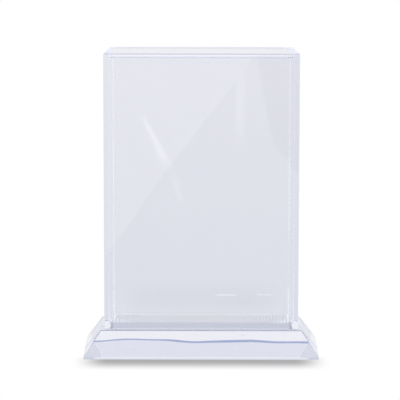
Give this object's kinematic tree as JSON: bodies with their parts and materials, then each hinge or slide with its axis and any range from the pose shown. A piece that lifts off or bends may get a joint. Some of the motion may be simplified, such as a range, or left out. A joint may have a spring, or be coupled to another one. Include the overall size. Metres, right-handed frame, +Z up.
{
  "type": "card deck display box",
  "caption": "Clear display box for a deck of playing cards: an open-bottomed cover standing over the ribbed platform of a solid bevelled base.",
  "frame": {"origin": "middle of the base's underside, on the surface it stands on", "axes": "+Z up, +X to the right along the long side, the front faces -Y"},
  "size_m": [0.088, 0.0362, 0.1139],
  "materials": {
    "base_plastic": "clear polished plastic",
    "cover_plastic": "clear polished plastic"
  },
  "bodies": {
    "base": {"base": "base_plastic"},
    "cover": {"cover": "cover_plastic"}
  },
  "joints": [
    {"name": "cover_lift", "type": "slide", "parent": "base", "child": "cover", "axis": [0, 0, 1], "range_m": [0, 0.12]}
  ]
}
